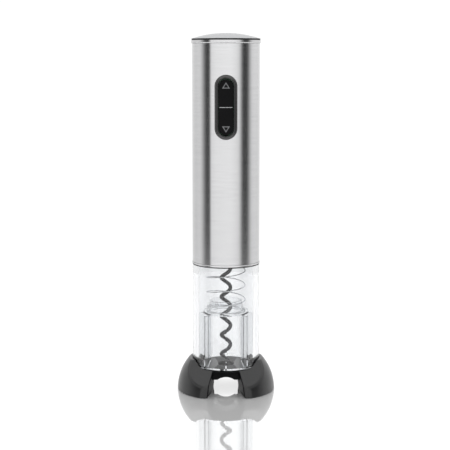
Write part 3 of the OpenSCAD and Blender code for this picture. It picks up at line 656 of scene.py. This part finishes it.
def wound_wire(radius: np.ndarray, angle: np.ndarray, height: np.ndarray, wire: np.ndarray,
               sides: int) -> np.ndarray:
    """Rings of a wire wound round Z.

    The middle of ring k is (R cos a, R sin a, z). Its circle has the wire's radius and lies in the
    plane of two directions at right angles to the path: the way out from Z, less its part along
    the path, and the cross product of the path's direction with that.

    Args:
        radius: winding radius R at each ring.
        angle: angle a at each ring, in radians.
        height: height z at each ring.
        wire: radius of the wire at each ring.
        sides: points round each ring.

    Returns:
        The rings, as an array of rings, sides and three coordinates.
    """
    path = np.stack([radius * np.cos(angle), radius * np.sin(angle), height], axis=-1)
    along = np.gradient(path, axis=0)
    along /= np.linalg.norm(along, axis=1, keepdims=True)
    out = np.stack([np.cos(angle), np.sin(angle), np.zeros_like(angle)], axis=-1)
    out -= np.sum(out * along, axis=1, keepdims=True) * along
    out /= np.linalg.norm(out, axis=1, keepdims=True)
    up = np.cross(along, out)
    turn = np.linspace(0, TURN, sides, endpoint=False)
    circle = np.cos(turn)[None, :, None] * out[:, None, :] + np.sin(turn)[None, :, None] * up[:, None, :]
    return path[:, None, :] + wire[:, None, None] * circle


def eased(share: np.ndarray) -> np.ndarray:
    """A share from 0 to 1 that starts and ends gently: 3 s squared less 2 s cubed."""
    share = np.clip(share, 0, 1)
    return share * share * (3 - 2 * share)


# ---------- sub-assemblies ----------


@dataclass
class FoilCutter:
    """The domed base with its four cutting wheels under two covers. Sizes are millimetres."""

    grid: float = 0.5
    dome_r: float = 36.5
    rim_z: float = 24.0
    cup_r: float = 25.3
    seat_z: float = 18.9
    ledge_z: float = 17.4
    toe_y: float = 31.5
    facet: tuple[float, float, float] = (0.308, 0.642, 0.703)
    facet_d: float = 31.1
    pocket_r: float = 15.0
    pocket_h: float = 11.0
    hole_r: float = 6.0
    bridge_y: float = 20.0
    notch: tuple[float, float] = (9.5, 10.5)
    notch_way: tuple[float, float, float] = (0.9712, -0.1994, 0.1305)
    arch_r: float = 10.92
    arch_z: float = 2.08
    arch_band: tuple[float, float] = (10.9, 14.9)
    cover_ring: tuple[float, float] = (15.7, 30.4)
    cover_half: float = math.radians(48)
    cover_top: float = 2.5
    wheel_place: tuple[float, float] = (17.553, 8.944)
    wheel_well: tuple[float, float] = (6.0, 5.2)
    edge: float = 0.35
    slant_edge: float = 0.15
    line_r: float = 0.5
    toe_edge: float = 0.8
    crisp: float = 0.1
    cover_gap: float = 0.2
    margin: float = 1.25

    def build(self) -> None:
        """Moulds the body, and dresses the covers, the wheels, their pins and the screws."""
        self.mould_body()
        for cover in ("left_wheel_cover", "right_wheel_cover"):
            dress(cover, Finishes.COVER_ABS.value)
        for number in range(1, 5):
            dress(f"cutting_wheel_{number}", Finishes.WHEEL_STEEL.value)
        for fixing in ("wheel_pins", "cover_screws"):
            dress(fixing, Finishes.SHAFT_STEEL.value)

    def mould_body(self) -> None:
        """Draws the moulding from its field, over a grid that clears it by a margin all round."""
        reach_x, reach_y = self.dome_r + self.margin, self.toe_y + self.margin
        x = np.arange(-reach_x, reach_x + self.grid, self.grid)
        y = np.arange(-reach_y, reach_y + self.grid, self.grid)
        z = np.arange(-self.margin, self.rim_z + self.margin + self.grid / 2, self.grid)
        field = self.solid(*np.meshgrid(x, y, z, indexing="ij"))
        origin = np.array([x[0], y[0], z[0]]) * MM
        piece = netted("foil_cutter_moulding", field, origin, self.grid * MM, Finishes.CUTTER_ABS.value)
        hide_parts("cutter_body")
        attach(piece, "foil_cutter")

    def solid(self, x: np.ndarray, y: np.ndarray, z: np.ndarray) -> np.ndarray:
        """Field of the moulding, negative inside, the same in all four quarters.

        A ball cut off flat below, above and at the two toes, less what lies past the four slanted
        facets outside the cup. From that are taken the slanted ways beside the bridges, the cup, the
        pocket, the floor's hole, a fine groove where each facet leaves the ball, the low arches, and
        the wells of the covers and the wheels.

        Args:
            x: X of each grid point.
            y: Y of each grid point.
            z: Z of each grid point.

        Returns:
            The field at each point.
        """
        x, y = np.abs(x), np.abs(y)
        r = np.hypot(x, y)
        edge = self.edge
        ball = np.sqrt(r * r + z * z) - self.dome_r
        under_seat = np.maximum(r - self.cup_r, z - self.seat_z)
        slant = self.facet[0] * x + self.facet[1] * y + self.facet[2] * z - self.facet_d
        body = rounded_meet(ball, np.maximum(z - self.rim_z, -z), edge)
        body = rounded_meet(body, np.minimum(slant, under_seat), self.slant_edge)
        body = rounded_meet(body, y - self.toe_y, self.toe_edge)
        side = (self.notch_way[0] * (x - self.notch[0]) + self.notch_way[1] * (y - self.notch[1])
                + self.notch_way[2] * z)
        above = np.minimum(z - self.ledge_z, -under_seat)
        way = np.maximum(side, np.minimum(z - self.pocket_h, np.maximum(self.bridge_y - y, above)))
        low, high = self.arch_band
        arch = np.maximum(np.hypot(x, z - self.arch_z) - self.arch_r, np.maximum(low - z, z - high))
        wedge = y * math.cos(self.cover_half) - x * math.sin(self.cover_half) - self.cover_gap
        inner, outer = self.cover_ring
        covers = np.maximum(np.maximum(r - outer, inner - r), np.maximum(wedge, z - self.cover_top))
        well_r, well_top = self.wheel_well
        wells = np.maximum(np.hypot(x - self.wheel_place[0], y - self.wheel_place[1]) - well_r, z - well_top)
        cuts = (
            (way, self.toe_edge),
            (np.maximum(r - self.cup_r, self.seat_z - z), edge),
            (np.maximum(r - self.pocket_r, z - self.pocket_h), edge),
            (r - self.hole_r, edge),
            (np.hypot(ball, slant) - self.line_r, self.crisp / 2),
            (arch, edge),
            (covers, self.crisp),
            (wells, self.crisp),
        )
        for cut, rounding in cuts:
            body = rounded_meet(body, -cut, rounding)
        return body


@dataclass
class NeckGuide:
    """The clear sleeve, the worm inside it, and the cork guide under its spring."""

    worm_path_r: float = 3.4 * MM
    worm_wire_r: float = 1.4 * MM
    worm_pitch: float = 14.6 * MM
    worm_start: float = math.radians(20)
    worm_foot: float = 19.9 * MM
    worm_shank: float = 98.7 * MM
    worm_top: float = 107.7 * MM
    blend_turn: float = 0.46
    point_turn: float = 0.42
    spring_r: float = 14.4 * MM
    spring_wire_r: float = 0.35 * MM
    spring_low: float = 60.55 * MM
    spring_high: float = 97.95 * MM
    spring_pitch: float = 11 * MM
    spring_start: float = math.radians(183)
    spring_flat: float = 0.75
    spring_keep: float = 0.41
    worm_steps: int = 72
    spring_steps: int = 90
    seam_shade_r: float = 24.85 * MM
    seam_shade_t: float = 0.12 * MM

    def build(self) -> None:
        """Dresses the clear pieces, then winds the worm and the spring."""
        dress("clear_sleeve", Finishes.CLEAR_SAN.value)
        dress("cork_guide", Finishes.CLEAR_GUIDE.value)
        dress("trim_ring", Finishes.RING_STEEL.value)
        # painted shade: two thin black rings for the shadow lines at the seam
        self.lay_seam_shade("lower_painted_seam_shade", 95.65 * MM, 96.45 * MM)
        self.lay_seam_shade("upper_painted_seam_shade", 97.52 * MM, 97.85 * MM)
        self.wind_worm()
        self.wind_spring()

    def lay_seam_shade(self, name: str, low: float, high: float) -> None:
        """Lays a thin black ring round the seam, painted shade for the shadow line of the gap there: an oval
        section turned about Z.

        Args:
            name: the piece's name.
            low: height of its lower edge.
            high: height of its upper edge.
        """
        turn = np.linspace(0, TURN, 16, endpoint=False)
        middle, half = (low + high) / 2, (high - low) / 2
        section = np.stack([self.seam_shade_r + self.seam_shade_t * np.cos(turn), middle + half * np.sin(turn)], axis=-1)
        piece = lathed(name, section, Finishes.GASKET_AND_SEAM_SHADE.value)
        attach(piece, "handle")

    def wind_worm(self) -> None:
        """Winds the worm: constant radius and pitch, a point that swells over its first part of a
        turn, and a last part of a turn that eases in to the axis and rises as a straight shank."""
        turns = (self.worm_shank - self.worm_foot) / self.worm_pitch
        turn = np.linspace(0, turns, int(turns * self.worm_steps))
        winding = self.worm_path_r * eased((turns - turn) / self.blend_turn)
        wire = self.worm_wire_r * np.sqrt(np.clip(turn / self.point_turn, 0.004, 1))
        height = self.worm_foot + turn * self.worm_pitch
        shank = np.linspace(self.worm_shank + 1 * MM, self.worm_top, 6)
        zero = np.zeros_like(shank)
        rings = wound_wire(
            np.concatenate([winding, zero]),
            np.concatenate([self.worm_start + turn * TURN, zero + self.worm_start + turns * TURN]),
            np.concatenate([height, shank]),
            np.concatenate([wire, zero + self.worm_wire_r]),
            sides=28,
        )
        piece = skinned("coated_worm", rings, Finishes.WORM_COAT.value)
        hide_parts("worm")
        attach(piece, "spindle")

    def wind_spring(self) -> None:
        """Winds the guide spring: one pitch between two end turns that lie flat for part of a turn."""
        rise = self.spring_high - self.spring_low
        turns = rise / self.spring_pitch + 2 * self.spring_flat
        turn = np.linspace(0, turns, int(turns * self.spring_steps))
        height = self.spring_low + np.clip((turn - self.spring_flat) * self.spring_pitch, 0, rise)
        rings = wound_wire(np.full_like(turn, self.spring_r), self.spring_start + turn * TURN, height,
                           np.full_like(turn, self.spring_wire_r), sides=12)
        piece = skinned("guide_spring_wire", rings, Finishes.WIRE_STEEL.value)
        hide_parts("guide_spring")
        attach(piece, "handle")
        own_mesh(piece)


@dataclass
class HandleShell:
    """The brushed steel sleeve, the plastic shells behind it, and the cap over the cells."""

    def build(self) -> None:
        """Dresses the sleeve, the shells, the end cup, the ring and the cap."""
        dress("steel_sleeve", Finishes.SLEEVE_STEEL.value)
        dress("cap_ring", Finishes.SLEEVE_STEEL.value)
        dress("top_cap", Finishes.CAP_ALUMINIUM.value)
        dress("cap_gasket", Finishes.GASKET_AND_SEAM_SHADE.value)
        for shell in ("front_shell", "rear_shell", "end_cup"):
            dress(shell, Finishes.SHELL_ABS.value)
        dress("shell_screws", Finishes.SHAFT_STEEL.value)


@dataclass
class ButtonPanel:
    """The oval frame with its up and down buttons, and the board behind them."""

    sleeve_r: float = 25.0 * MM
    frame_w: float = 16.1 * MM
    frame_h: float = 46.2 * MM
    frame_back: float = -1.7
    ridge: tuple[tuple[float, float], ...] = (
        (0, 0.05), (0.03, 0.18), (0.1, 0.24), (0.2, 0.26), (0.85, 0.27), (0.95, 0.29), (1.06, 0.36),
        (1.26, 0.46), (1.36, 0.49), (1.5, 0.5), (1.62, 0.46), (1.68, 0.3), (1.72, -0.1), (1.8, -0.14),
        (1.92, -0.12), (1.98, 0.0), (2.03, 0.25), (2.12, 0.38), (2.23, 0.41), (2.33, 0.36), (2.4, 0.22),
    )
    face_r: float = 26.0 * MM
    button_w: float = 10.8 * MM
    button_h: float = 39.4 * MM
    split: float = 0.6 * MM
    corner: float = 0.8 * MM
    rounding: float = 0.4 * MM
    button_t: float = 2.8 * MM
    middle_z: float = 212.8 * MM
    arrow_place: float = 15.7 * MM
    arrow_w: float = 5.7 * MM
    arrow_h: float = 4.4 * MM
    arrow_line: float = 0.62 * MM
    arrow_proud: float = 0.03 * MM
    highlight_h: float = 0.5 * MM
    highlight_t: float = 0.3 * MM
    highlight_sunk: float = 0.4 * MM

    def build(self) -> None:
        """Makes the frame, the buttons and the arrows, and dresses what is behind them."""
        self.mould_frame()
        for way in ("up", "down"):
            self.mould_button(way)
            self.lay_arrow(way)
            dress(f"{way}_plunger", Finishes.SHELL_ABS.value)
        # painted highlight: a pale strip for the lit edge at the split
        self.lay_split_highlight()
        dress("switches", Finishes.SWITCH_PBT.value)
        dress("switch_board", Finishes.BOARD_RESIST.value)

    def wrapped(self, x: np.ndarray, z: np.ndarray, r: np.ndarray) -> np.ndarray:
        """Points at x and height z above the panel's middle, on the front of a cylinder of radius r:
        y is less the root of r squared less x squared."""
        sides = np.broadcast_arrays(x, -np.sqrt(r * r - x * x), self.middle_z + z)
        return np.stack(sides, axis=-1)

    def mould_frame(self) -> None:
        """Carries the frame's ridge and inner lip round an oval.

        At angle t the oval's outward way is (cos t, sin t). A point inset by d lies at half the
        width less d along it, from the middle of the upper or the lower round end; the straight
        sides run from one end's middle to the other's.
        """
        half, reach = self.frame_w / 2, (self.frame_h - self.frame_w) / 2
        arc, run = np.linspace(0, math.pi, 49), np.linspace(1, -1, 41)[1:-1]
        turn = np.concatenate([arc, np.full_like(run, math.pi), arc + math.pi, np.full_like(run, TURN)])
        middle = np.concatenate([np.ones_like(arc), run, -np.ones_like(arc), -run]) * reach
        inset, height = np.array([(0, self.frame_back), *self.ridge, (2.4, self.frame_back)]).T * MM
        reach_out = half - inset[None, :]
        x = reach_out * np.cos(turn)[:, None]
        z = middle[:, None] + reach_out * np.sin(turn)[:, None]
        rings = self.wrapped(x, z, self.sleeve_r + height[None, :])
        piece = skinned("button_frame", rings, Finishes.FRAME_ABS.value, closed=False)
        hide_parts("button_bezel")
        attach(piece, "handle")

    def mould_button(self, way: str) -> None:
        """Shapes one button: a round end, a straight end with small corners, and a rolled rim.

        The outline is arcs joined by straight runs, each point with its outward way. The rim
        rolls in along a quarter circle: inset by its radius times 1 - cos, sunk by 1 - sin. From
        there the face shrinks in even steps to the button's middle.

        Args:
            way: "up" or "down".
        """
        half, top, foot, c = self.button_w / 2, self.button_h / 2, self.split / 2, self.corner
        quarter = np.linspace(0, math.pi / 2, 9)
        arc, run = np.linspace(0, math.pi, 41), np.linspace(0, 1, 26)[1:-1]
        turn = np.concatenate([arc, np.full_like(run, math.pi), math.pi + quarter,
                               np.full_like(run, 1.5 * math.pi), 1.5 * math.pi + quarter,
                               np.full_like(run, TURN)])
        middle_x = np.concatenate([0 * arc, 0 * run + c - half, 0 * quarter + c - half,
                                   (c - half) + run * 2 * (half - c), 0 * quarter + half - c,
                                   0 * run + half - c])
        middle_z = np.concatenate([0 * arc + top - half, (top - half) * (1 - run) + (foot + c) * run,
                                   0 * quarter + foot + c, 0 * run + foot + c, 0 * quarter + foot + c,
                                   (foot + c) * (1 - run) + (top - half) * run])
        size = np.where(np.arange(len(turn)) < len(arc), half, c)
        roll = np.linspace(0, math.pi / 2, 7)
        inset = np.concatenate([[0.0], self.rounding * (1 - np.cos(roll))])[:, None]
        sunk = np.concatenate([[self.button_t], self.rounding * (1 - np.sin(roll))])[:, None]
        x = middle_x + (size - inset) * np.cos(turn)
        z = middle_z + (size - inset) * np.sin(turn)
        share = np.linspace(0, 0.97, 16)[1:, None]
        x = np.vstack([x, x[-1:] * (1 - share)])
        z = np.vstack([z, z[-1:] * (1 - share) + share * (top + foot) / 2])
        sunk = np.vstack([sunk, 0 * share])
        rings = self.wrapped(x, z if way == "up" else -z, self.face_r - sunk)
        piece = skinned(f"{way}_button_cap", rings, Finishes.BUTTON_ABS.value)
        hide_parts(f"{way}_button")
        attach(piece, f"{way}_button")

    def lay_split_highlight(self) -> None:
        """Lays a thin pale strip across the split between the two buttons: a painted highlight for the lit rounded
        edge there. It is an oval section carried across the panel along x, on the same cylinder as the buttons'
        faces."""
        across = np.linspace(-1, 1, 33)[:, None] * (self.button_w / 2 - self.corner)
        turn = np.linspace(0, TURN, 12, endpoint=False)[None, :]
        r = self.face_r - self.highlight_sunk + self.highlight_t * np.cos(turn)
        rings = self.wrapped(across, self.highlight_h / 2 * np.sin(turn), r + 0 * across)
        piece = skinned("painted_split_highlight_strip", rings, Finishes.SPLIT_HIGHLIGHT_PAINT.value)
        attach(piece, "handle")

    def lay_arrow(self, way: str) -> None:
        """Lays a printed outline arrow on a button: four loops of a triangle, outer and inner, each
        at the back and at the front, joined into a ring of square section.

        Args:
            way: "up" or "down", the button that it lies on.
        """
        tip = 1 if way == "up" else -1
        half_w, half_h, line = self.arrow_w / 2, self.arrow_h / 2, self.arrow_line
        outer = np.array([[-half_w, -half_h], [half_w, -half_h], [0, half_h]])
        inner = np.array([[1.9 * line - half_w, line - half_h], [half_w - 1.9 * line, line - half_h],
                          [0, half_h - 1.7 * line]])
        back, front = self.face_r - 5 * self.arrow_proud, self.face_r + self.arrow_proud
        share = np.linspace(0, 1, 12, endpoint=False)[None, :, None]
        sections = []
        for corners, r in ((outer, front), (inner, front), (inner, back), (outer, back)):
            ahead = np.roll(corners, -1, axis=0)
            edge = (corners[:, None] * (1 - share) + ahead[:, None] * share).reshape(-1, 2)
            sections.append(self.wrapped(edge[:, 0], tip * (self.arrow_place + edge[:, 1]), np.array(r)))
        piece = skinned(f"{way}_arrow", np.stack(sections, axis=1), Finishes.ARROW_INK.value, closed=False)
        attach(piece, f"{way}_button")


@dataclass
class Drive:
    """Motor, two planetary stages and the hub that holds the worm."""

    def build(self) -> None:
        """Dresses every gear, carrier, screw and motor part."""
        for casting in ("gearbox_base", "motor_plate", "output_carrier", "first_carrier"):
            dress(casting, Finishes.GEAR_ZINC.value)
        for gear in ("ring_gear", *(f"planet_gear_{number}" for number in range(1, 7))):
            dress(gear, Finishes.GEAR_ACETAL.value)
        for steel in ("gearbox_screws", "motor_screws", "motor_shaft", "worm_hub"):
            dress(steel, Finishes.SHAFT_STEEL.value)
        for bronze in ("output_bush", "drive_pinion"):
            dress(bronze, Finishes.BUSH_BRONZE.value)
        dress("motor_can", Finishes.CAN_STEEL.value)
        dress("motor_magnets", Finishes.MAGNET_FERRITE.value)
        dress("motor_end_bell", Finishes.WHITE_NYLON.value)
        dress("armature", Finishes.CORE_STEEL.value)
        dress("windings", Finishes.COPPER_WIRE.value)
        dress("motor_leads", Finishes.LEAD_PVC.value)


@dataclass
class BatteryBay:
    """Four cells in their holder, between sprung contacts."""

    cell_low: float = 204.2 * MM
    cell_high: float = 254.7 * MM
    band_h: float = 13 * MM

    def build(self) -> None:
        """Dresses the holder, the contacts and the cells. Two cells stand with their nub up and two
        with it down, so the band is at their upper or lower end."""
        dress("battery_holder", Finishes.HOLDER_ABS.value)
        for contact in ("holder_contacts", "cap_contacts"):
            dress(contact, Finishes.CONTACT_NICKEL.value)
        up = CellJacket("cell_jacket_nub_up", "#26282c", "#a8743a", (self.cell_high - self.band_h, 1.0))
        down = CellJacket("cell_jacket_nub_down", "#26282c", "#a8743a", (0.0, self.cell_low + self.band_h))
        for number in range(1, 5):
            dress(f"cell_{number}", up if number % 2 else down)


# ---------- studio ----------


@dataclass
class Studio:
    """Camera, floor and the soft white surroundings."""

    camera_place: tuple[float, float, float] = (-0.0007, -0.8788, 0.2464)
    camera_tilt: float = math.radians(82.1)
    lens: float = 95.1
    floor_r: float = 0.5
    floor_drop: float = 0.02 * MM
    overhead: float = 1.6
    overhead_z: tuple[float, float] = (0.35, 0.75)
    horizon_z: tuple[float, float] = (-0.1, 0.04)
    horizon_gain: tuple[float, float] = (1.8, 2.05)
    ramp_top: float = 1.2
    backdrop: float = 1.05
    around: tuple[tuple[float, float], ...] = (
        (-180, 0.7), (-150, 0.64), (-125, 0.62), (-104, 0.68), (-93, 0.6), (-84, 0.36), (-76, 0.14),
        (-69, 0.04), (-58, 0.04), (-54.5, 0.38), (-51, 0.78), (-30, 0.85), (15, 0.88), (30, 0.82), (42, 0.74),
        (48, 0.56), (56, 0.16), (61, 0.04), (74, 0.04), (80, 0.12), (88, 0.4), (98, 0.66), (112, 0.72),
        (140, 0.66), (180, 0.7),
    )

    def build(self) -> None:
        """Sets the view transform, the surroundings, the floor and the camera."""
        bpy.context.scene.view_settings.view_transform = "Standard"
        self.light_surroundings()
        self.lay_floor()
        self.place_camera()

    def light_surroundings(self) -> None:
        """Pale all round, with a dark upright card at each side that draws a dark band on brushed
        metal. Each level at an angle is scaled up near the horizon, and gives way to one even level
        overhead. The camera sees a plain white backdrop instead."""
        world = bpy.data.worlds.new("studio")
        bpy.context.scene.world = world
        world.use_nodes = True
        tree = world.node_tree
        tree.nodes.clear()
        way = add(tree, "ShaderNodeSeparateXYZ",
                  links={0: add(tree, "ShaderNodeTexCoord").outputs["Generated"]})
        back = add(tree, "ShaderNodeMath", {"operation": "MULTIPLY", 1: -1.0}, {0: way.outputs["Y"]})
        angle = add(tree, "ShaderNodeMath", {"operation": "ARCTAN2"},
                    {0: way.outputs["X"], 1: back.outputs[0]})
        share = add(tree, "ShaderNodeMapRange", {"From Min": -math.pi, "From Max": math.pi},
                    {"Value": angle.outputs[0]})
        stops = [(0.5 + degrees / 360, grey(level / self.ramp_top)) for degrees, level in self.around]
        cards = add_ramp(tree, share.outputs["Result"], stops)
        (low, high), (dim, bright) = self.horizon_z, self.horizon_gain
        lift = add(tree, "ShaderNodeMapRange",
                   {"From Min": low, "From Max": high, "To Min": dim, "To Max": bright},
                   {"Value": way.outputs["Z"]})
        start, full = self.overhead_z
        overhead = add(tree, "ShaderNodeMapRange", {"From Min": start, "From Max": full},
                       {"Value": way.outputs["Z"]})
        shaped = add(tree, "ShaderNodeMath", {"operation": "MULTIPLY"},
                     {0: cards, 1: lift.outputs["Result"]})
        soft = add(tree, "ShaderNodeMix", {"data_type": "FLOAT", 3: self.overhead},
                   {0: overhead.outputs["Result"], 2: shaped.outputs[0]})
        seen = add(tree, "ShaderNodeLightPath").outputs["Is Camera Ray"]
        level = add(tree, "ShaderNodeMix", {"data_type": "FLOAT", 3: self.backdrop}, {0: seen, 2: soft.outputs[0]})
        background = add(tree, "ShaderNodeBackground", {"Color": grey(1.0)}, {"Strength": level.outputs[0]})
        add(tree, "ShaderNodeOutputWorld", links={"Surface": background.outputs[0]})

    def lay_floor(self) -> None:
        """A round white board, part mirror, a hair under the opener so that no two faces coincide."""
        turn = np.linspace(0, TURN, 96, endpoint=False)
        rim = np.stack([np.cos(turn), np.sin(turn), np.zeros_like(turn)], axis=-1) * self.floor_r
        board = MirrorBoard("white_mirror_board")
        mesh = bpy.data.meshes.new("floor")
        points = rim - np.array([0, 0, self.floor_drop])
        mesh.from_pydata(points.tolist(), [], [list(range(len(points)))])
        mesh.materials.append(board.material())
        floor = bpy.data.objects.new("floor", mesh)
        bpy.context.scene.collection.objects.link(floor)

    def place_camera(self) -> None:
        """One camera a little above the opener's middle, looking slightly down."""
        data = bpy.data.cameras.new("camera")
        data.lens = self.lens
        data.sensor_width = 36
        data.clip_start = 0.01
        camera = bpy.data.objects.new("camera", data)
        camera.location = self.camera_place
        camera.rotation_euler = (self.camera_tilt, 0, 0)
        bpy.context.scene.collection.objects.link(camera)
        bpy.context.scene.camera = camera


def main() -> None:
    """Builds each sub-assembly in order."""
    for part in (Studio(), FoilCutter(), NeckGuide(), HandleShell(), ButtonPanel(), Drive(), BatteryBay()):
        LOG.info("sub-assembly %s", type(part).__name__)
        part.build()


if __name__ == "__main__":
    logging.basicConfig(level=logging.INFO)
    main()
